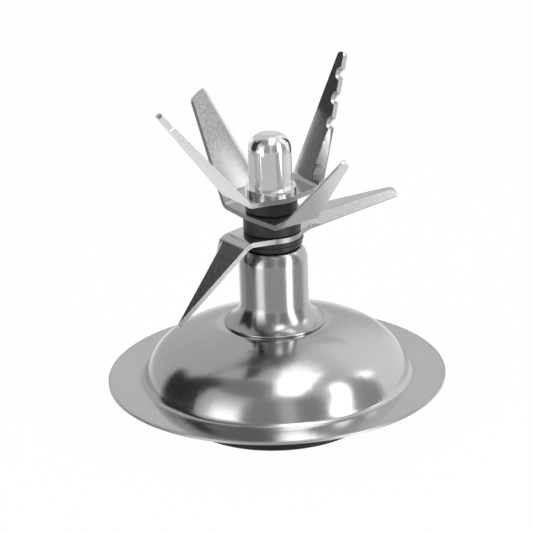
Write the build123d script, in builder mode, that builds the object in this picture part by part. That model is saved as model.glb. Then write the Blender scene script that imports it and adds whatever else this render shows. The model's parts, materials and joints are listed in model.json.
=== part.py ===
from build123d import *
from collections import namedtuple
from math import acos, atan2, cos, degrees, hypot, radians, sin, sqrt
import os

# Blender blade assembly: a pressed dome base with a bearing neck, and a rotor of shaft, three blades,
# cap nut and drive coupling. Millimetres, +Z up, standing on the coupling's rim at Z = 0.

# Fits
running_fit = 0.05
seat_fit = 0.02
blade_fit = 0.08
axial_play = 0.2

# Pressed dome base
flange_top = 10.2
flange_radius = 40.0
sheet = 0.6
crease_line = 32.7
crease_radius = 1.6
wall_lean = 15.0
wall_length = 0.2
dome_shoulder_radius = 12.0
neck_seat_height = 13.4

# Bearing neck
foot_edge = 0.4
flare_height = 5.6
neck_height = 18.5
neck_shoulder_height = 3.1
neck_top_step = 1.4
neck_lip = 1.8
neck_lip_gap = 0.6
neck_wall = 1.9
spigot_step = 0.5
foot_width = 3.4
swage_width = 1.8
swage_thickness = 1.0
o_ring_section = 1.1

# Bushes, felt and seal
bush_wall = 2.13
bush_length = 6.5
seal_thickness = 2.2
seal_wall = 0.7
seal_lip_gap = 0.05
felt_gap = 0.3

# Shaft
shaft_radius = 4.0
shaft_flat = 3.1
stud_radius = 3.0
stud_length = 9.5
tail_radius = 3.0
tail_recess = 1.3
flat_relief = 0.3
shaft_chamfer = 0.5
groove_radius = 3.3
clip_radius = 5.9
clip_thickness = 0.9
clip_mouth = 5.4
clip_relief = 1.5
clip_relief_angle = 130.0
groove_fit = 0.05
washer_radius = 6.0
washer_thickness = 0.8
thrust_thickness = 0.5
thrust_radius = 6.3

# Blade stack
blade_thickness = 1.2
hub_radius = 7.0
slinger_radius = 7.3
slinger_height = 2.15
slinger_round = 1.0
lower_spacer_radius = 6.7
lower_spacer_height = 3.8
upper_spacer_radius = 6.1
upper_spacer_height = 3.4
spacer_edge = 0.5
edge_land = 0.2
tip_round = 1.4
tip_share = 0.4
bevel_start = 0.3
bevel_ramp = 3.0
bevel_runout = 0.05
bevel_over = 1.0

# Cap nut
nut_radius = 5.0
nut_across_flats = 9.5
nut_flat_height = 8.3
nut_cap_height = 4.4
nut_cap_round = 3.7
nut_collar_radius = 5.9
nut_collar = 1.2
nut_sides = 6
nut_turn = -4.0
stud_relief = 0.5

# Drive coupling
disc_radius = 23.0
disc_thickness = 4.2
rim_width = 2.5
pocket_depth = 2.4
rib_count = 8
rib_width = 2.0
socket_wall_radius = 13.0
socket_wall_height = 7.5
socket_radius = 7.2
socket_lobe_radius = 1.9
socket_lobes = 6
socket_depth = 6.2
boss_radius = 9.0
boss_height = 16.0
insert_across_flats = 11.0
insert_sides = 6
insert_proud = 0.5
coupling_edge = 0.6

# Arms turn clockwise seen from above, so each leading edge is on its clockwise side.
# Angles in degrees, bend upwards positive. Roots and tips are half-widths, length runs past the bend.
Arm = namedtuple(
    "Arm",
    "azimuth bend bend_at bend_radius length lead_root trail_root lead_tip trail_tip skew "
    "bevel_root bevel_tip bevel_share",
)
upper_arms = (
    Arm(
        azimuth=32.0, bend=70.7, bend_at=9.0, bend_radius=1.5, length=30.6,
        lead_root=4.7, trail_root=6.2, lead_tip=1.05, trail_tip=1.05, skew=0.65,
        bevel_root=3.2, bevel_tip=0.3, bevel_share=0.45,
    ),
    Arm(
        azimuth=212.0, bend=50.8, bend_at=8.0, bend_radius=1.5, length=31.2,
        lead_root=5.3, trail_root=5.4, lead_tip=0.55, trail_tip=0.35, skew=1.6,
        bevel_root=3.2, bevel_tip=0.3, bevel_share=0.45,
    ),
)
middle_arms = (
    Arm(
        azimuth=-51.7, bend=48.0, bend_at=9.1, bend_radius=1.5, length=25.6,
        lead_root=6.7, trail_root=4.7, lead_tip=1.25, trail_tip=1.85, skew=3.6,
        bevel_root=1.7, bevel_tip=1.3, bevel_share=1.06,
    ),
    Arm(
        azimuth=128.3, bend=54.8, bend_at=9.1, bend_radius=1.5, length=28.5,
        lead_root=7.3, trail_root=5.8, lead_tip=2.5, trail_tip=2.5, skew=2.3,
        bevel_root=1.7, bevel_tip=1.3, bevel_share=1.06,
    ),
)
lower_arms = (
    Arm(
        azimuth=35.0, bend=3.9, bend_at=9.0, bend_radius=3.0, length=27.0,
        lead_root=2.9, trail_root=8.7, lead_tip=2.1, trail_tip=1.8, skew=-0.45,
        bevel_root=5.0, bevel_tip=2.4, bevel_share=1.06,
    ),
    Arm(
        azimuth=215.0, bend=-44.1, bend_at=8.5, bend_radius=3.0, length=22.2,
        lead_root=5.1, trail_root=4.6, lead_tip=0.2, trail_tip=0.2, skew=0.1,
        bevel_root=1.4, bevel_tip=0.4, bevel_share=1.0,
    ),
)

# Rows of round notches: how many, their radius, the first one's distance from the tip, and their edge
Notches = namedtuple("Notches", "count radius first trailing")
upper_notches = (
    Notches(count=3, radius=1.5, first=5.2, trailing=False),
    Notches(count=1, radius=1.0, first=3.7, trailing=True),
)
notch_pitch = 5.8
notch_inset = 0.1
notch_taper = 25.0

# Heights of the base
seat_z = flange_top + neck_seat_height
sheet_under = seat_z - sheet
spigot_bottom = sheet_under - swage_thickness
neck_top = seat_z + neck_height
lip_under = neck_top - neck_lip
seal_bottom = lip_under - seal_thickness

# Heights of the rotor, from the running face on the neck's top
thrust_bottom = neck_top + axial_play
slinger_bottom = thrust_bottom + thrust_thickness
lower_blade_z = slinger_bottom + slinger_height
lower_spacer_z = lower_blade_z + blade_thickness
middle_blade_z = lower_spacer_z + lower_spacer_height
upper_spacer_z = middle_blade_z + blade_thickness
upper_blade_z = upper_spacer_z + upper_spacer_height
nut_z = upper_blade_z + blade_thickness
washer_top = spigot_bottom - axial_play
clip_top = washer_top - washer_thickness
clip_bottom = clip_top - clip_thickness
insert_top = boss_height + insert_proud
tail_bottom = socket_depth + tail_recess

os.makedirs("parts", exist_ok=True)


def save(piece, name):
    """Label a finished piece and write it under its own name."""
    piece.label = name
    export_step(piece, f"parts/{name}.step")


def ring(name, outer, inner, bottom, height):
    """Plain ring about the axis."""
    with BuildPart() as piece:
        with BuildSketch(Plane.XY.offset(bottom)):
            Circle(outer)
            Circle(inner, mode=Mode.SUBTRACT)
        extrude(amount=height)
    save(piece.part, name)


def crown_centre(rim_radius, rim_z, side_radius, side_z, side_round):
    """Height of the centre of the sphere through the seat's rim that is tangent to the shoulder arc."""
    rise = rim_z - side_z
    k = side_round**2 + side_radius**2 - rim_radius**2 + rise**2
    a = rise**2 - side_round**2
    b = rise * (2 * side_round**2 - k)
    c = k**2 / 4 - side_round**2 * (side_radius**2 + rise**2)
    return rim_z - (sqrt(b**2 - 4 * a * c) - b) / (2 * a)


# Radii from the shaft outwards: bushes, bore, neck, spigot and foot
bush_inner = shaft_radius + running_fit
bush_outer = bush_inner + bush_wall
bore_radius = bush_outer + seat_fit
neck_radius = bore_radius + neck_wall
neck_top_radius = neck_radius - neck_top_step
spigot_radius = neck_radius + spigot_step
foot_radius = spigot_radius + foot_width

# Dome base: one pressed sheet with flange, crease, leaning wall, shoulder, crown and a flat neck seat
dome_hole_radius = spigot_radius + seat_fit
lean = radians(wall_lean)
crease_z = flange_top + crease_radius
bends = crease_radius + dome_shoulder_radius
shoulder_centre = crease_line - bends * cos(lean) - wall_length * sin(lean)
shoulder_z = crease_z - bends * sin(lean) + wall_length * cos(lean)
crown_z = crown_centre(foot_radius, seat_z, shoulder_centre, shoulder_z, dome_shoulder_radius)
crown_radius = hypot(foot_radius, seat_z - crown_z)
crown_start = degrees(atan2(shoulder_z - crown_z, shoulder_centre))


def sheet_face(depth):
    """One face of the pressed sheet, this deep under its outer face, from the flange's rim to the hole."""
    seat_radius = sqrt(foot_radius**2 - 2 * depth * (crown_radius - seat_z + crown_z))
    crown_end = degrees(acos(seat_radius / (crown_radius - depth)))
    shoulder_round = dome_shoulder_radius - depth
    Line((flange_radius, flange_top - depth), (crease_line, flange_top - depth))
    crease = CenterArc((crease_line, crease_z), crease_radius + depth, 270, wall_lean - 90)
    shoulder = CenterArc((shoulder_centre, shoulder_z), shoulder_round, wall_lean, crown_start - wall_lean)
    Line(crease @ 1, shoulder @ 0)
    crown = CenterArc((0, crown_z), crown_radius - depth, crown_start, crown_end - crown_start)
    Line(crown @ 1, (dome_hole_radius, seat_z - depth))


with BuildPart() as dome_base:
    with BuildSketch(Plane.XZ):
        with BuildLine():
            sheet_face(0)
            sheet_face(sheet)
            Line((flange_radius, flange_top), (flange_radius, flange_top - sheet))
            Line((dome_hole_radius, seat_z), (dome_hole_radius, sheet_under))
        make_face()
    revolve(axis=Axis.Z)
save(dome_base.part, "dome_base")

# Bearing neck: flared foot on the dome, spigot swaged under the sheet, bored from below up to a top lip
swage_radius = spigot_radius + swage_width
flare_z = seat_z + flare_height
foot_z = seat_z + foot_edge
neck_shoulder_z = neck_top - neck_shoulder_height
lip_radius = shaft_radius + neck_lip_gap
o_ring_radius = spigot_radius + o_ring_section / 2
groove_outer = spigot_radius + o_ring_section + seat_fit
groove_top = seat_z + o_ring_section + seat_fit
with BuildPart() as bearing_neck:
    with BuildSketch(Plane.XZ):
        with BuildLine():
            Polyline(
                (lip_radius, neck_top),
                (lip_radius, lip_under),
                (bore_radius, lip_under),
                (bore_radius, spigot_bottom),
                (swage_radius, spigot_bottom),
                (swage_radius, sheet_under),
                (spigot_radius, sheet_under),
                (spigot_radius, groove_top),
                (groove_outer, groove_top),
                (groove_outer, seat_z),
                (foot_radius, seat_z),
                (foot_radius, foot_z),
            )
            TangentArc((neck_radius, flare_z), (foot_radius, foot_z), tangent=(0, -1))
            Line((neck_radius, flare_z), (neck_radius, neck_shoulder_z))
            TangentArc((neck_radius, neck_shoulder_z), (neck_top_radius, neck_top), tangent=(0, 1))
            Line((neck_top_radius, neck_top), (lip_radius, neck_top))
        make_face()
    revolve(axis=Axis.Z)
save(bearing_neck.part, "bearing_neck")

with BuildPart() as neck_o_ring:
    with BuildSketch(Plane.XZ):
        with Locations((o_ring_radius + seat_fit, seat_z + o_ring_section / 2)):
            Circle(o_ring_section / 2)
    revolve(axis=Axis.Z)
save(neck_o_ring.part, "neck_o_ring")

# Plain bushes pressed into the bore, with the oil felt between them
felt_bottom = spigot_bottom + bush_length
upper_bush_bottom = seal_bottom - bush_length
for name, bottom in (("lower_bush", spigot_bottom), ("upper_bush", upper_bush_bottom)):
    ring(name, bush_outer, bush_inner, bottom, bush_length)
ring("oil_felt", bush_outer, shaft_radius + felt_gap, felt_bottom, upper_bush_bottom - felt_bottom)

# Shaft seal: outer wall, web against the neck's lip and a lip that runs on the shaft
with BuildPart() as shaft_seal:
    with BuildSketch(Plane.XZ):
        with BuildLine():
            Polyline(
                (bush_outer, seal_bottom),
                (bush_outer, lip_under),
                (shaft_radius + seal_lip_gap + seal_wall, lip_under),
                (shaft_radius + seal_lip_gap, lip_under - seal_wall),
                (shaft_radius + seal_lip_gap + seal_wall, lip_under - seal_wall - seal_wall),
                (bush_outer - seal_wall, lip_under - seal_wall - seal_wall),
                (bush_outer - seal_wall, seal_bottom),
                close=True,
            )
        make_face()
    revolve(axis=Axis.Z)
save(shaft_seal.part, "shaft_seal")


def flatted_section(fit):
    """Double-D section of the shaft where the blades sit, opened by a clearance."""
    Circle(shaft_radius + fit)
    Rectangle(2 * (shaft_flat + fit), 2 * (shaft_radius + fit), mode=Mode.INTERSECT)


# Shaft: tail in the coupling, journal with a clip groove, flats for the blades and stud for the nut
with BuildPart() as drive_shaft:
    with BuildSketch(Plane.XY.offset(tail_bottom)):
        Circle(tail_radius)
    extrude(amount=insert_top - tail_bottom)
    with BuildSketch(Plane.XY.offset(insert_top)):
        Circle(shaft_radius)
    extrude(amount=lower_blade_z - insert_top)
    with BuildSketch(Plane.XY.offset(lower_blade_z)):
        flatted_section(0)
    extrude(amount=nut_z - flat_relief - lower_blade_z)
    with BuildSketch(Plane.XY.offset(nut_z - flat_relief)):
        Circle(stud_radius)
    extrude(amount=stud_length + flat_relief)
    chamfer(drive_shaft.faces().sort_by(Axis.Z)[-1].edges(), shaft_chamfer)
    chamfer(drive_shaft.faces().sort_by(Axis.Z)[0].edges(), shaft_chamfer)
    with BuildSketch(Plane.XY.offset(clip_bottom - groove_fit)):
        Circle(shaft_radius)
        Circle(groove_radius, mode=Mode.SUBTRACT)
    extrude(amount=clip_thickness + 2 * groove_fit, mode=Mode.SUBTRACT)
save(drive_shaft.part, "drive_shaft")

# Retaining clip: open ring that grips the groove on three lands
clip_relief_span = 2 * (180 - clip_relief_angle)
with BuildPart() as retaining_clip:
    with BuildSketch(Plane.XY.offset(clip_bottom)):
        Circle(clip_radius)
        Circle(groove_radius + seat_fit, mode=Mode.SUBTRACT)
        with PolarLocations(groove_radius, 2, start_angle=clip_relief_angle, angular_range=clip_relief_span):
            Circle(clip_relief, mode=Mode.SUBTRACT)
        with Locations((clip_radius, 0)):
            Rectangle(2 * clip_radius, clip_mouth, mode=Mode.SUBTRACT)
    extrude(amount=clip_thickness)
save(retaining_clip.part, "retaining_clip")

ring("lower_thrust_washer", washer_radius, shaft_radius + seat_fit, clip_top, washer_thickness)
ring("upper_thrust_washer", thrust_radius, shaft_radius + seat_fit, thrust_bottom, thrust_thickness)

# Slinger ring and spacers, black rings between the blades
with BuildPart() as slinger_ring:
    with BuildSketch(Plane.XY.offset(slinger_bottom)):
        Circle(slinger_radius)
        Circle(shaft_radius + seat_fit, mode=Mode.SUBTRACT)
    extrude(amount=slinger_height)
    fillet(slinger_ring.edges().filter_by(GeomType.CIRCLE).sort_by(SortBy.RADIUS)[-2:], slinger_round)
save(slinger_ring.part, "slinger_ring")


def spacer(name, bottom, height, radius):
    """Round spacer with eased rims, keyed on the shaft's flats."""
    with BuildPart() as piece:
        with BuildSketch(Plane.XY.offset(bottom)):
            Circle(radius)
        extrude(amount=height)
        fillet(piece.edges().filter_by(GeomType.CIRCLE), spacer_edge)
        with BuildSketch(Plane.XY.offset(bottom)):
            flatted_section(blade_fit)
        extrude(amount=height, mode=Mode.SUBTRACT)
    save(piece.part, name)


spacer("lower_spacer", lower_spacer_z, lower_spacer_height, lower_spacer_radius)
spacer("upper_spacer", upper_spacer_z, upper_spacer_height, upper_spacer_radius)


def arm_solid(arm, bottom):
    """Root, bend and flat of one arm. Returns the plane of its upper face, from the end of the bend."""
    top = bottom + blade_thickness
    turn = radians(arm.bend)
    out = Vector(1, 0, 0).rotate(Axis.Z, arm.azimuth)
    side = Vector(0, 1, 0).rotate(Axis.Z, arm.azimuth)
    up = Vector(0, 0, 1)

    # Flat root from the hub to the bend
    with BuildSketch(Plane((0, 0, bottom), x_dir=out, z_dir=up)) as root:
        Polygon(
            (0, -hub_radius),
            (arm.bend_at, -arm.lead_root),
            (arm.bend_at, arm.trail_root),
            (0, hub_radius),
            align=None,
        )
    extrude(root.sketch, amount=blade_thickness)

    # Bend of constant width about an axis on its inner side
    start = out * arm.bend_at + up * bottom
    centre_z = top + arm.bend_radius if arm.bend > 0 else bottom - arm.bend_radius
    with BuildSketch(Plane(start, x_dir=side, z_dir=out)) as section:
        Polygon(
            (-arm.lead_root, 0),
            (arm.trail_root, 0),
            (arm.trail_root, blade_thickness),
            (-arm.lead_root, blade_thickness),
            align=None,
        )
    axis_way = side * -1 if arm.bend > 0 else side
    bend_axis = Axis(out * arm.bend_at + up * centre_z, axis_way)
    revolve(section.sketch, axis=bend_axis, revolution_arc=abs(arm.bend))

    # Tapered flat past the bend, with a skewed tip
    face_radius = centre_z - top
    corner = out * (arm.bend_at + face_radius * sin(turn)) + up * (centre_z - face_radius * cos(turn))
    face = Plane(corner, x_dir=out * cos(turn) + up * sin(turn), z_dir=up * cos(turn) - out * sin(turn))
    with BuildSketch(face) as flat:
        Polygon(
            (0, -arm.lead_root),
            (arm.length, -arm.lead_tip),
            (arm.length - arm.skew, arm.trail_tip),
            (0, arm.trail_root),
            align=None,
        )
        corner_round = min(tip_round, tip_share * (arm.lead_tip + arm.trail_tip))
        fillet(flat.vertices().sort_by(Axis.X)[-2:], corner_round)
    extrude(flat.sketch, amount=-blade_thickness)
    return face


def edge_plane(face, arm, distance):
    """Plane across the leading edge, this far along it: X inwards over the face, Y along its normal."""
    slope = atan2(arm.lead_root - arm.lead_tip, arm.length)
    along = face.x_dir * cos(slope) + face.y_dir * sin(slope)
    inward = face.y_dir * cos(slope) - face.x_dir * sin(slope)
    start = face.origin - face.y_dir * arm.lead_root
    return Plane(start + along * distance, x_dir=inward, z_dir=along)


def grind_edge(face, arm):
    """Bevel ground into the upper face along the leading edge, rising from nothing past the bend."""
    edge = hypot(arm.length, arm.lead_root - arm.lead_tip)
    full = blade_thickness - edge_land
    sections = []
    for distance, width, depth in (
        (bevel_start, arm.bevel_root, bevel_runout),
        (bevel_start + bevel_ramp, arm.bevel_root, full),
        (edge * arm.bevel_share, arm.bevel_tip, full * min(1, arm.bevel_tip)),
    ):
        with BuildSketch(edge_plane(face, arm, distance)) as section:
            Polygon(
                (width, 0),
                (-bevel_over, -depth * (1 + bevel_over / width)),
                (-bevel_over, bevel_over),
                (width, bevel_over),
                align=None,
            )
        sections.append(section.sketch)
    loft(sections, ruled=True, mode=Mode.SUBTRACT)


def cut_notches(face, arm, notches):
    """Row of round notches in one edge, ground from the upper face."""
    way = 1 if notches.trailing else -1
    root, tip = (arm.trail_root, arm.trail_tip) if notches.trailing else (arm.lead_root, arm.lead_tip)
    reach = arm.length - arm.skew if notches.trailing else arm.length
    edge = hypot(reach, root - tip)
    with BuildSketch(face) as holes:
        for notch in range(notches.count):
            share = 1 - (notches.first + notch * notch_pitch) / edge
            with Locations((reach * share, way * (root + (tip - root) * share - notch_inset))):
                Circle(notches.radius)
    extrude(holes.sketch, amount=-blade_thickness, taper=notch_taper, mode=Mode.SUBTRACT)


def blade(name, bottom, arms, notch_rows=()):
    """Blade stamped from one strip: round hub, two bent arms with ground leading edges, keyed hole."""
    with BuildPart() as piece:
        with BuildSketch(Plane.XY.offset(bottom)):
            Circle(hub_radius)
        extrude(amount=blade_thickness)
        faces = []
        for arm in arms:
            face = arm_solid(arm, bottom)
            grind_edge(face, arm)
            faces.append(face)
        for face, arm, notches in zip(faces, arms, notch_rows):
            cut_notches(face, arm, notches)
        with BuildSketch(Plane.XY.offset(bottom)):
            flatted_section(blade_fit)
        extrude(amount=blade_thickness, mode=Mode.SUBTRACT)
    save(piece.part, name)


blade("lower_blade", lower_blade_z, lower_arms)
blade("middle_blade", middle_blade_z, middle_arms)
blade("upper_blade", upper_blade_z, upper_arms, upper_notches)

# Cap nut: collar, round body with milled flats, rounded cap, blind bore for the stud
flats_bottom = nut_z + nut_collar
flats_top = flats_bottom + nut_flat_height
nut_top = flats_top + nut_cap_height
nut_cap_radius = nut_radius - nut_cap_round
with BuildPart() as cap_nut:
    with BuildSketch(Plane.XZ):
        with BuildLine():
            Polyline(
                (0, nut_z),
                (nut_collar_radius, nut_z),
                (nut_collar_radius, flats_bottom),
                (nut_radius, flats_bottom),
                (nut_radius, nut_top - nut_cap_round),
            )
            CenterArc((nut_cap_radius, nut_top - nut_cap_round), nut_cap_round, 0, 90)
            Polyline((nut_cap_radius, nut_top), (0, nut_top), (0, nut_z))
        make_face()
    revolve(axis=Axis.Z)
    with BuildSketch(Plane.XY.offset(flats_bottom)):
        Circle(nut_collar_radius)
        RegularPolygon(
            nut_across_flats / 2, nut_sides, major_radius=False, rotation=nut_turn, mode=Mode.SUBTRACT
        )
    extrude(amount=nut_flat_height, mode=Mode.SUBTRACT)
    with BuildSketch(Plane.XY.offset(nut_z)):
        Circle(stud_radius + running_fit)
    extrude(amount=stud_length + stud_relief, mode=Mode.SUBTRACT)
save(cap_nut.part, "cap_nut")

# Coupling insert: hexagonal brass bush moulded into the coupling's boss, on the shaft's tail
with BuildPart() as coupling_insert:
    with BuildSketch(Plane.XY.offset(socket_depth)):
        RegularPolygon(insert_across_flats / 2, insert_sides, major_radius=False)
        Circle(tail_radius + seat_fit, mode=Mode.SUBTRACT)
    extrude(amount=insert_top - socket_depth)
save(coupling_insert.part, "coupling_insert")

# Drive coupling: ribbed disc, socket wall, boss round the insert and a lobed socket from below
with BuildPart() as drive_coupling:
    with BuildSketch():
        Circle(disc_radius)
    extrude(amount=disc_thickness)
    fillet(drive_coupling.edges().filter_by(GeomType.CIRCLE), coupling_edge)
    with BuildSketch():
        Circle(disc_radius - rim_width)
        Circle(socket_wall_radius, mode=Mode.SUBTRACT)
        with PolarLocations(disc_radius / 2, rib_count):
            Rectangle(disc_radius, rib_width, mode=Mode.SUBTRACT)
    extrude(amount=pocket_depth, mode=Mode.SUBTRACT)
    with BuildSketch(Plane.XY.offset(disc_thickness)):
        Circle(socket_wall_radius)
    extrude(amount=socket_wall_height - disc_thickness)
    with BuildSketch(Plane.XY.offset(socket_wall_height)):
        Circle(boss_radius)
    extrude(amount=boss_height - socket_wall_height)
    with BuildSketch():
        Circle(socket_radius)
        with PolarLocations(socket_radius, socket_lobes):
            Circle(socket_lobe_radius)
    extrude(amount=socket_depth, mode=Mode.SUBTRACT)
    with BuildSketch(Plane.XY.offset(socket_depth)):
        RegularPolygon(insert_across_flats / 2, insert_sides, major_radius=False)
    extrude(amount=boss_height - socket_depth, mode=Mode.SUBTRACT)
save(drive_coupling.part, "drive_coupling")
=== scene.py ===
import json
from math import cos, radians, sin

import bmesh
import bpy
from mathutils import Matrix, Quaternion, Vector
from mathutils.bvhtree import BVHTree


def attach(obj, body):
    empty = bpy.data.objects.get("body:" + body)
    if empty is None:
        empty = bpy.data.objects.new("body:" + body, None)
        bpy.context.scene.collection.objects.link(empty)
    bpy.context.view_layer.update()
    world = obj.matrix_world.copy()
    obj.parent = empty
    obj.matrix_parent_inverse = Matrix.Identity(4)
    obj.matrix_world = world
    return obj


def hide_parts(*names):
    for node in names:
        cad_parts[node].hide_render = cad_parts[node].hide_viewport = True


# Looks of a blender blade assembly: polished and satin steel, black rings and a moulded coupling,
# in a white studio with strip lights and dark flags. Metres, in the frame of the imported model.

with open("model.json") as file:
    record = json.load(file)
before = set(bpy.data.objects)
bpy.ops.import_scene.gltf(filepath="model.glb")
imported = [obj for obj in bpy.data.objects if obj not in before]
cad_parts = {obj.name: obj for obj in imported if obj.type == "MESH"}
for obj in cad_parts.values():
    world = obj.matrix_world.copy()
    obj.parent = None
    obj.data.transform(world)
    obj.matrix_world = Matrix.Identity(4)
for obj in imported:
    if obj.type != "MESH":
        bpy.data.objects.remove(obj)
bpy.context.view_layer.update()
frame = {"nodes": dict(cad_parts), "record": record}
nodes = frame["nodes"]
bodies = frame["record"]["behaviour"]["bodies"]
slots = {part["node"]: part["material_slot"] for part in frame["record"]["subparts"]}
scene = bpy.context.scene
scene.view_settings.view_transform = "Standard"
mm = 0.001

# Blades: middle of the stack, then what tells their worked faces apart, by the sheet's depth behind each face
hub = Vector((0, 0, 51.6 * mm))
sheet = 1.2 * mm
same_depth = 0.008 * mm
thinner = 0.03 * mm
thicker = 0.04 * mm
probe_lift = 0.01 * mm
probe_spread = 0.7
notch_area = 0.35 * mm * mm
notch_reach = 12 * mm

# Pieces in view get softened edges of this width in mm, and the ones sealed inside take their finish only
edges = {
    "dome_base": 0.15,
    "bearing_neck": 0.12,
    "cap_nut": 0.06,
    "upper_blade": 0.05,
    "middle_blade": 0.05,
    "lower_blade": 0.05,
    "upper_spacer": 0.05,
    "lower_spacer": 0.05,
    "upper_thrust_washer": 0.05,
    "drive_coupling": 0.1,
    "coupling_insert": 0.08,
    "retaining_clip": 0.05,
    "lower_thrust_washer": 0.05,
}
soft_angle = radians(24)

# Flat faces are joined up to this angle, and corners that lie this close
flat_angle = radians(0.4)
weld = 0.0005 * mm

# Slinger ring: the lower bead is set in and has this share of the height
bead_inset = 0.28 * mm
bead_share = 0.48
bead_angle = radians(40)
bead_turns = 128
bead_bends = 12

# Studio
card_steps = 24
card_centre = Vector((0, 0, 25 * mm))
lamp_distance = 0.9
lamp_aim = Vector((0, 0, 40 * mm))
floor_reach = 3
floor_glow = 0.98
sky_light = 0.6

# Camera, from the photo's perspective
camera_place = Vector((-1.6, -527.78, 237.24)) * mm
camera_elevation = radians(20.779)
camera_roll = radians(-1.95)
camera_lens = 162.97
camera_sensor = 36


def body_of(node):
    """Name of the body that carries a CAD node."""
    return next(body for body, members in bodies.items() if node in members)


def toward(azimuth, elevation):
    """Unit vector, from angles in radians. Azimuth runs from the camera's side to the right."""
    return Vector((sin(azimuth) * cos(elevation), -cos(azimuth) * cos(elevation), sin(elevation)))


# Shader nodes
def feed(mat, socket, value):
    """Set an input, or link it if the value is another node's output."""
    if isinstance(value, bpy.types.NodeSocket):
        mat.node_tree.links.new(value, socket)
    else:
        socket.default_value = value


def add(mat, kind, *values, out=0, **named):
    """Add a shader node with inputs in order, then inputs or settings by name. Returns one of its outputs."""
    node = mat.node_tree.nodes.new("ShaderNode" + kind)
    for key, value in named.items():
        if key in node.inputs:
            feed(mat, node.inputs[key], value)
        else:
            setattr(node, key, value)
    for socket, value in zip(node.inputs, values):
        if value is not None:
            feed(mat, socket, value)
    return node.outputs[out]


def shader(name, color, roughness, metallic=0.0):
    """New material with its plain colour, roughness and metalness on the shader's own sockets."""
    mat = bpy.data.materials.new(name)
    mat.use_nodes = True
    bsdf = mat.node_tree.nodes["Principled BSDF"]
    bsdf.inputs["Base Color"].default_value = (*color, 1)
    bsdf.inputs["Roughness"].default_value = roughness
    bsdf.inputs["Metallic"].default_value = metallic
    return mat, bsdf


def place(mat):
    """Position on the object, in metres."""
    return add(mat, "TexCoord", out="Object")


def noise(mat, vector, scale, detail=3.0, roughness=0.5):
    """Noise texture's value over a vector."""
    return add(mat, "TexNoise", out="Fac", Vector=vector, Scale=scale, Detail=detail, Roughness=roughness)


def mean(mat, first, second):
    """Value half-way between two others."""
    total = add(mat, "Math", first, second, operation="ADD")
    return add(mat, "Math", total, 0.5, operation="MULTIPLY")


def spread(mat, value, low, high):
    """Map a noise's usual span to a range."""
    return add(mat, "MapRange", value, 0.3, 0.7, low, high)


def shade(color, factor):
    """Colour made darker or lighter."""
    return [channel * factor for channel in color]


def tint(mat, bsdf, value, dark, light):
    """Vary the colour between two tones."""
    ramp = add(mat, "MixRGB", value, (*dark, 1), (*light, 1))
    feed(mat, bsdf.inputs["Base Color"], ramp)


def bump(mat, bsdf, height, distance):
    """Raise the surface by a height in mm."""
    normal = add(mat, "Bump", Strength=1.0, Distance=distance * mm, Height=height, out="Normal")
    feed(mat, bsdf.inputs["Normal"], normal)


def reach(mat):
    """Vector out from the axis, and its length in metres."""
    flat = add(mat, "VectorMath", place(mat), (1, 1, 0), operation="MULTIPLY")
    return flat, add(mat, "VectorMath", flat, operation="LENGTH", out="Value")


def ring_lines(mat, pitch, breaks):
    """Noise drawn out in rings about the axis, as spinning and polishing leave it."""
    flat, radius = reach(mat)
    height = add(mat, "SeparateXYZ", place(mat), out="Z")
    along = add(mat, "Math", radius, height, operation="SUBTRACT")
    row = add(mat, "Math", along, 1 / (pitch * mm), operation="MULTIPLY")
    way = add(mat, "VectorMath", flat, operation="NORMALIZE")
    turn = add(mat, "VectorMath", way, (breaks, breaks, 0), operation="MULTIPLY")
    vector = add(mat, "VectorMath", turn, add(mat, "CombineXYZ", None, None, row), operation="ADD")
    return noise(mat, vector, 1.0, 2.0)


def arm_lines(mat, fineness):
    """Noise drawn out along the arms, away from the hub, as belt grinding leaves it."""
    spot = add(mat, "VectorMath", place(mat), hub, operation="SUBTRACT")
    way = add(mat, "VectorMath", spot, operation="NORMALIZE")
    return noise(mat, way, fineness, 4.0, 0.6)


# Finishes. Depths and pitches are in mm, and noise scales are per metre
def spun_steel(name, color, roughness, pitch, depth, breaks, dents=(0.0, 1.0), zones=()):
    """Polished sheet or turned steel: fine rings, shallow dents (depth, scale), and from each zone's radius
    in mm another roughness."""
    mat, bsdf = shader(name, color, roughness, 1.0)
    lines = ring_lines(mat, pitch, breaks)
    cloud = noise(mat, place(mat), 60.0, 4.0)
    speck = noise(mat, place(mat), 1600.0, 3.0, 0.6)
    stain = spread(mat, mean(mat, cloud, speck), 0.0, 1.0)
    tint(mat, bsdf, stain, shade(color, 0.92), shade(color, 1.08))
    level = roughness
    for radius, value in zones:
        share = add(mat, "MapRange", reach(mat)[1], (radius - 1.0) * mm, (radius + 1.0) * mm, 0.0, 1.0)
        level = add(mat, "Mix", share, None, level, value)
    worn = spread(mat, mean(mat, lines, cloud), 0.8, 1.25)
    feed(mat, bsdf.inputs["Roughness"], add(mat, "Math", worn, level, operation="MULTIPLY"))
    bsdf.inputs["Anisotropic"].default_value = 0.5
    bsdf.inputs["Anisotropic Rotation"].default_value = 0.25
    feed(mat, bsdf.inputs["Tangent"], add(mat, "Tangent", direction_type="RADIAL", axis="Z"))
    dent_depth, dent_scale = dents
    dent = add(mat, "Math", noise(mat, place(mat), dent_scale, 2.0), dent_depth / depth, operation="MULTIPLY")
    bump(mat, bsdf, add(mat, "Math", lines, dent, operation="ADD"), depth)
    return mat


def ground_steel(name, color, roughness, depth, grain):
    """Satin blade steel with grinding lines along the arms and a fine grain, a share of the colour."""
    mat, bsdf = shader(name, color, roughness, 1.0)
    lines = arm_lines(mat, 60.0)
    speck = noise(mat, place(mat), 1400.0, 4.0, 0.6)
    worn = mean(mat, lines, speck)
    tint(mat, bsdf, spread(mat, worn, 0.0, 1.0), shade(color, 1 - grain), shade(color, 1 + grain))
    feed(mat, bsdf.inputs["Roughness"], spread(mat, worn, roughness * 0.8, roughness * 1.25))
    bump(mat, bsdf, lines, depth)
    return mat


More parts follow.
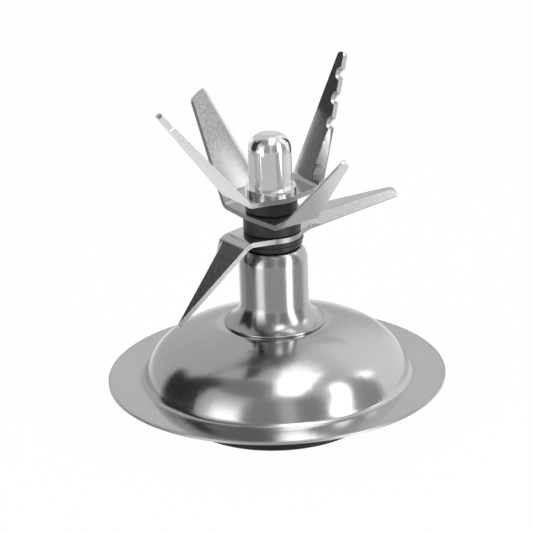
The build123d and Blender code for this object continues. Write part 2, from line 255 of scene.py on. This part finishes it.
def sheared_steel(name, color, roughness):
    """Dull stamped edge of a blade, with short tears through the sheet."""
    mat, bsdf = shader(name, color, roughness, 1.0)
    tears = noise(mat, place(mat), 2200.0, 5.0, 0.65)
    tint(mat, bsdf, tears, shade(color, 0.85), shade(color, 1.1))
    bump(mat, bsdf, tears, 0.0005)
    return mat


def moulded(name, color, roughness, grain, depth, sheen=0.0):
    """Black plastic or rubber with a fine moulded grain and greyer worn patches."""
    mat, bsdf = shader(name, color, roughness)
    speck = noise(mat, place(mat), grain, 5.0, 0.6)
    cloud = noise(mat, place(mat), 180.0, 3.0)
    tint(mat, bsdf, cloud, color, shade(color, 1.7))
    feed(mat, bsdf.inputs["Roughness"], spread(mat, cloud, roughness * 0.85, roughness * 1.15))
    bsdf.inputs["Sheen Weight"].default_value = sheen
    bsdf.inputs["Specular IOR Level"].default_value = 0.3
    bump(mat, bsdf, speck, depth)
    return mat


def cast_metal(name, dark, light, roughness, grain, depth):
    """Brass, bronze or blackened steel with a mottled colour and a fine tooled surface."""
    mat, bsdf = shader(name, light, roughness, 1.0)
    speck = noise(mat, place(mat), grain, 6.0, 0.65)
    tint(mat, bsdf, speck, dark, light)
    feed(mat, bsdf.inputs["Roughness"], spread(mat, speck, roughness * 1.2, roughness * 0.8))
    bump(mat, bsdf, speck, depth)
    return mat


def felted(name, dark, light):
    """Oiled felt: matted fibres with a soft sheen."""
    mat, bsdf = shader(name, light, 0.95)
    fibre = noise(mat, place(mat), 2600.0, 6.0, 0.7)
    tint(mat, bsdf, fibre, dark, light)
    bsdf.inputs["Sheen Weight"].default_value = 0.3
    bump(mat, bsdf, fibre, 0.12)
    return mat


# By material slot; by node for the middle and upper blades, darker copies of the blade steel whose darker
# tone is painted shade;
# and for the ground faces of all three, a brighter steel that is partly their grinding and partly a painted
# highlight, and for their sheared sides a darker steel that is partly their dull cut and partly painted
# shade. The dome is polished round the neck's foot, satin on the crown, polished on the flange and dull on
# its rim
finishes = {
    "dome_steel": spun_steel(
        "dome_steel", color=(0.57, 0.57, 0.573), roughness=0.1, pitch=0.35, depth=0.0008, breaks=2.0,
        dents=(0.03, 70.0), zones=((17.5, 0.19), (33.5, 0.1), (40.2, 1.0)),
    ),
    "neck_steel": spun_steel(
        "neck_steel", color=(0.47, 0.47, 0.475), roughness=0.22, pitch=0.3, depth=0.0008, breaks=1.2,
        dents=(0.012, 160.0),
    ),
    "nut_chrome": spun_steel(
        "nut_chrome", color=(0.92, 0.92, 0.925), roughness=0.17, pitch=0.5, depth=0.0008, breaks=2.0,
        dents=(0.05, 240.0),
    ),
    "blade_steel": ground_steel(
        "blade_steel", color=(0.65, 0.65, 0.655), roughness=0.15, depth=0.0012, grain=0.09
    ),
    # Darker tone than the blade steel: painted shade on the middle blade, with a satin roughness of its own
    "middle_blade": ground_steel(
        "middle_blade", color=(0.61, 0.61, 0.615), roughness=0.21, depth=0.0004, grain=0.07
    ),
    # Darker tone than the blade steel: painted shade on the upper blade
    "upper_blade": ground_steel(
        "upper_blade", color=(0.55, 0.55, 0.555), roughness=0.14, depth=0.0012, grain=0.09
    ),
    # Brighter than the blade steel: ground finish on bevels and notches, partly a painted highlight
    "ground_edge_painted_highlight": ground_steel(
        "ground_edge_painted_highlight", color=(0.8, 0.8, 0.805), roughness=0.32, depth=0.0008, grain=0.1
    ),
    # Darker than the blade steel: dull sheared finish, partly painted shade on the blade sides
    "sheared_edge_painted_shade": sheared_steel("sheared_edge_painted_shade", color=(0.46, 0.46, 0.465), roughness=0.44),
    "shaft_steel": spun_steel(
        "shaft_steel", color=(0.5, 0.5, 0.505), roughness=0.2, pitch=0.2, depth=0.003, breaks=0.8
    ),
    "washer_steel": spun_steel(
        "washer_steel", color=(0.45, 0.45, 0.455), roughness=0.28, pitch=0.25, depth=0.003, breaks=1.0
    ),
    "spring_steel": cast_metal(
        "spring_steel", dark=(0.02, 0.02, 0.022), light=(0.05, 0.05, 0.053),
        roughness=0.4, grain=900.0, depth=0.01,
    ),
    "washer_nylon": moulded(
        "washer_nylon", color=(0.018, 0.018, 0.018), roughness=0.5, grain=2200.0, depth=0.01
    ),
    "spacer_black": moulded(
        "spacer_black", color=(0.016, 0.016, 0.017), roughness=0.42, grain=1800.0, depth=0.012
    ),
    "ring_rubber": moulded(
        "ring_rubber", color=(0.014, 0.014, 0.0145), roughness=0.36, grain=2400.0, depth=0.012, sheen=0.1
    ),
    "seal_rubber": moulded(
        "seal_rubber", color=(0.012, 0.012, 0.012), roughness=0.6, grain=2400.0, depth=0.015, sheen=0.1
    ),
    "bush_bronze": cast_metal(
        "bush_bronze", dark=(0.28, 0.17, 0.08), light=(0.52, 0.35, 0.18),
        roughness=0.4, grain=1600.0, depth=0.02,
    ),
    "felt": felted("felt", dark=(0.2, 0.18, 0.14), light=(0.42, 0.39, 0.32)),
    "insert_brass": cast_metal(
        "insert_brass", dark=(0.5, 0.34, 0.13), light=(0.7, 0.53, 0.25),
        roughness=0.28, grain=700.0, depth=0.006,
    ),
    "coupling_black": moulded(
        "coupling_black", color=(0.014, 0.012, 0.011), roughness=0.5, grain=1500.0, depth=0.02
    ),
}


# Pieces
def stand_in(mesh, node):
    """Object with this mesh that takes a CAD node's place on its body."""
    piece = bpy.data.objects.new(mesh.name, mesh)
    scene.collection.objects.link(piece)
    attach(piece, body_of(node))
    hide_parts(node)
    return piece


def worked_faces(form):
    """Ground faces of a blade (bevels, where the sheet is thinner, and notches), and its sheared sides."""
    tree = BVHTree.FromBMesh(form)
    ground, sheared = [], []
    for face in form.faces:
        middle = face.calc_center_median()
        spots = [middle] + [middle.lerp(corner.co, probe_spread) for corner in face.verts]
        lift = face.normal * probe_lift
        depths = [(tree.ray_cast(spot - lift, -face.normal)[3] or 0.0) + lift.length for spot in spots]
        if any(abs(depth - sheet) < same_depth for depth in depths):
            continue
        bevel = depths[0] < sheet - thinner and max(depths) < sheet + thicker
        notch = face.calc_area() < notch_area and middle.xy.length > notch_reach
        if bevel or notch:
            ground.append(face)
        elif depths[0] > sheet + thicker:
            sheared.append(face)
    return ground, sheared


def dressed(node):
    """Copy of a CAD node with clean faces, softened edges and weighted normals, which stands for it."""
    mesh = nodes[node].data.copy()
    mesh.name = node + "_dressed"
    form = bmesh.new()
    form.from_mesh(mesh)
    bmesh.ops.remove_doubles(form, verts=form.verts, dist=weld)
    bmesh.ops.dissolve_limit(form, angle_limit=flat_angle, verts=form.verts, edges=form.edges)
    bmesh.ops.recalc_face_normals(form, faces=form.faces)
    mesh.materials.clear()
    mesh.materials.append(finishes.get(node, finishes[slots[node]]))
    # Ground faces take the brighter steel that is partly a painted highlight, sheared sides the darker one
    # that is partly painted shade
    if slots[node] == "blade_steel":
        for finish, faces in zip(("ground_edge_painted_highlight", "sheared_edge_painted_shade"), worked_faces(form)):
            for face in faces:
                face.material_index = len(mesh.materials)
            mesh.materials.append(finishes[finish])
    form.to_mesh(mesh)
    form.free()
    mesh.shade_smooth()
    mesh.set_sharp_from_angle(angle=soft_angle)
    piece = stand_in(mesh, node)
    soften = piece.modifiers.new("soft edges", "BEVEL")
    soften.width = edges[node] * mm
    soften.segments = 2
    soften.limit_method = "ANGLE"
    soften.angle_limit = soft_angle
    weigh = piece.modifiers.new("weighted normals", "WEIGHTED_NORMAL")
    weigh.keep_sharp = False


def beaded_ring(node):
    """Ring of two round beads, one above the other, in the space of a CAD ring that it stands for."""
    corners = [corner.co for corner in nodes[node].data.vertices]
    radii = [corner.xy.length for corner in corners]
    bottom = min(corner.z for corner in corners)
    height = max(corner.z for corner in corners) - bottom
    low, high = bead_share * height / 2, (1 - bead_share) * height / 2
    beads = ((max(radii) - bead_inset, bottom + low, low), (max(radii), bottom + height - high, high))
    profile = [(min(radii), bottom)]
    for outside, middle, half in beads:
        for step in range(bead_bends + 1):
            turn = radians(-90 + 180 * step / bead_bends)
            profile.append((outside - half + half * cos(turn), middle + half * sin(turn)))
    profile.append((min(radii), bottom + height))
    form = bmesh.new()
    rows = []
    for step in range(bead_turns):
        turn = radians(360 * step / bead_turns)
        rows.append([form.verts.new((r * cos(turn), r * sin(turn), z)) for r, z in profile])
    for row, after in zip(rows, rows[1:] + rows[:1]):
        for k in range(len(profile)):
            form.faces.new((row[k - 1], after[k - 1], after[k], row[k]))
    bmesh.ops.recalc_face_normals(form, faces=form.faces)
    mesh = bpy.data.meshes.new(node + "_beads")
    form.to_mesh(mesh)
    form.free()
    mesh.materials.append(finishes[slots[node]])
    mesh.shade_smooth()
    mesh.set_sharp_from_angle(angle=bead_angle)
    stand_in(mesh, node)


for node, part in nodes.items():
    if node == "slinger_ring":
        beaded_ring(node)
    elif node in edges:
        dressed(node)
    else:
        part.data.materials.clear()
        part.data.materials.append(finishes[slots[node]])


# Studio: white floor and backdrop, with cards that only the reflections show
def plain(name):
    """Empty material to build a shader in. Returns it and its output's surface socket."""
    mat = bpy.data.materials.new(name)
    mat.use_nodes = True
    mat.node_tree.nodes.clear()
    output = mat.node_tree.nodes.new("ShaderNodeOutputMaterial")
    return mat, output.inputs["Surface"]


def in_view(mat):
    """One for what the camera sees straight on, in metal or through glass."""
    ways = [add(mat, "LightPath", out="Is %s Ray" % way) for way in ("Camera", "Glossy", "Transmission")]
    direct = add(mat, "Math", ways[0], ways[1], operation="MAXIMUM")
    return add(mat, "Math", direct, ways[2], operation="MAXIMUM")


def floor_paper():
    """White paper that keeps a faint shadow of what stands on it."""
    mat, surface = plain("floor_paper")
    paper = add(mat, "BsdfDiffuse", (0.9, 0.9, 0.9, 1))
    glow = add(mat, "Emission", (1, 1, 1, 1), 1.0)
    seen = add(mat, "MixShader", floor_glow, paper, glow)
    feed(mat, surface, add(mat, "MixShader", in_view(mat), paper, seen))
    return mat


def card_light(name, strength, sides, ends):
    """Even glow that fades out over a share of the card from its sides and ends."""
    mat, surface = plain(name)
    spot = add(mat, "TexCoord", out="UV")
    fade = 1.0
    for axis, (near, far) in (("X", sides), ("Y", ends)):
        share = add(mat, "SeparateXYZ", spot, out=axis)
        if near:
            ramp = add(mat, "MapRange", share, 0.0, near, 0.0, 1.0, interpolation_type="SMOOTHSTEP")
            fade = add(mat, "Math", ramp, fade, operation="MULTIPLY")
        if far:
            ramp = add(mat, "MapRange", share, 1.0, 1.0 - far, 0.0, 1.0, interpolation_type="SMOOTHSTEP")
            fade = add(mat, "Math", ramp, fade, operation="MULTIPLY")
    glow = add(mat, "Emission", (1, 1, 1, 1), strength)
    feed(mat, surface, add(mat, "MixShader", fade, add(mat, "BsdfTransparent"), glow))
    return mat


def card(name, azimuths, elevations, strength, sides, ends, distance, lift=0.0, lean=0.0):
    """Curved card facing the object. Angles in degrees: lift tips it back over the object, and lean slants it
    to the right as it rises. Sides and ends are the shares over which it fades."""
    tilt = Matrix.Rotation(radians(-lift), 3, "X")
    form = bmesh.new()
    uv = form.loops.layers.uv.new("card")
    grid = []
    for i in range(card_steps + 1):
        row = []
        for j in range(card_steps + 1):
            e = radians(elevations[0] + (elevations[1] - elevations[0]) * j / card_steps)
            slant = lean * sin(max(e, 0)) ** 2
            a = radians(azimuths[0] + (azimuths[1] - azimuths[0]) * i / card_steps + slant)
            row.append(form.verts.new(tilt @ toward(a, e) * distance + card_centre))
        grid.append(row)
    for i in range(card_steps):
        for j in range(card_steps):
            corners = ((i, j), (i + 1, j), (i + 1, j + 1), (i, j + 1))
            face = form.faces.new([grid[m][n] for m, n in corners])
            for loop, (m, n) in zip(face.loops, corners):
                loop[uv].uv = (m / card_steps, n / card_steps)
    mesh = bpy.data.meshes.new(name)
    form.to_mesh(mesh)
    form.free()
    mesh.materials.append(card_light(name, strength, sides, ends))
    panel = bpy.data.objects.new(name, mesh)
    scene.collection.objects.link(panel)
    panel.visible_camera = False
    panel.visible_diffuse = False
    panel.visible_transmission = False
    panel.visible_shadow = False


# Name, azimuths, elevations, strength, then how it fades and its distance: grey surroundings first, then dark
# flags and soft fills in front of them, and the lights nearest to the object
card("grey_sky", (-180, 180), (-10, 90), 0.58, sides=(0, 0), ends=(0.08, 0), distance=1.5)
card("glow_back", (164, 198), (10, 32), 0.72, sides=(0.3, 0.3), ends=(0.3, 0.3), distance=1.45)
card("glow_right", (96, 170), (-25, 64), 0.95, sides=(0.12, 0.25), ends=(0.1, 0.2), distance=1.4)
card("low_grey", (-150, 120), (-62, -5), 0.5, sides=(0.05, 0.05), ends=(0.05, 0.15), distance=1.35)
card("flag_front", (-35, 46), (-14, 64), 0.3, sides=(0.12, 0.08), ends=(0.2, 0.3), distance=1.3)
card("low_left", (-114, -58), (-62, -3), 0.33, sides=(0.15, 0.15), ends=(0.05, 0.15), distance=1.28)
card("flag_high", (-132, -8), (44, 86), 0.26, sides=(0.2, 0.08), ends=(0.25, 0.08), distance=1.27)
card("fill_front", (-3, 21), (-12, 58), 0.62, sides=(0.45, 0.45), ends=(0.1, 0.2), distance=1.26)
card("flag_left", (-108, -72), (-9, 66), 0.03, sides=(0.06, 0.08), ends=(0.06, 0.15), distance=1.25, lean=-12)
card("flag_arms", (-116, -98), (-9, 44), 0.03, sides=(0.15, 0), ends=(0.1, 0.2), distance=1.24, lean=-38)
card("flag_right", (58, 99), (-14, 56), 0.34, sides=(0.05, 0.1), ends=(0.12, 0.3), distance=1.23, lean=14)
card("strip_right", (42, 64), (-45, 59), 3.4, sides=(0.12, 0.12), ends=(0.05, 0.12), distance=1.1, lean=33)
card("strip_left", (-67, -29), (-45, 50), 2.2, sides=(0.45, 0.25), ends=(0.45, 0.6), distance=1.1)
card("spot_right", (98, 113), (27, 48), 2.5, sides=(0.3, 0.3), ends=(0.3, 0.3), distance=1.1)
card("overhead", (-2, 22), (-38, 27), 3.3, sides=(0.3, 0.3), ends=(0.2, 0.28), distance=1.1, lift=90)

# Metal mirrors the low cards in place of the floor
floor_corners = [(x * floor_reach, y * floor_reach, 0) for x, y in ((-1, -1), (1, -1), (1, 1), (-1, 1))]
floor_mesh = bpy.data.meshes.new("floor")
floor_mesh.from_pydata(floor_corners, [], [(0, 1, 2, 3)])
floor_mesh.materials.append(floor_paper())
floor = bpy.data.objects.new("floor", floor_mesh)
scene.collection.objects.link(floor)
floor.visible_glossy = False

world = bpy.data.worlds.new("studio")
world.use_nodes = True
scene.world = world
sky = world.node_tree.nodes["Background"]
sky.inputs["Color"].default_value = (1, 1, 1, 1)
feed(world, sky.inputs["Strength"], add(world, "MapRange", in_view(world), 0.0, 1.0, sky_light, 1.0))


def lamp(name, azimuth, elevation, power, size):
    """Soft area light aimed at the object, from angles in degrees, with its power in watts."""
    light = bpy.data.lights.new(name, "AREA")
    light.shape = "RECTANGLE"
    light.size, light.size_y = size
    light.energy = power
    thing = bpy.data.objects.new(name, light)
    scene.collection.objects.link(thing)
    way = toward(radians(azimuth), radians(elevation))
    thing.location = way * lamp_distance + lamp_aim
    thing.rotation_euler = way.to_track_quat("Z", "Y").to_euler()
    thing.visible_glossy = False
    thing.visible_camera = False


lamp("lamp_right", azimuth=55, elevation=30, power=6.0, size=(0.35, 0.9))
lamp("lamp_left", azimuth=-46, elevation=20, power=4.0, size=(0.4, 0.7))

camera_data = bpy.data.cameras.new("camera")
camera_data.sensor_width = camera_sensor
camera_data.lens = camera_lens
camera = bpy.data.objects.new("camera", camera_data)
scene.collection.objects.link(camera)
camera.location = camera_place
camera.rotation_mode = "QUATERNION"
aim = toward(0, camera_elevation).to_track_quat("Z", "Y")
camera.rotation_quaternion = aim @ Quaternion((0, 0, 1), camera_roll)
scene.camera = camera
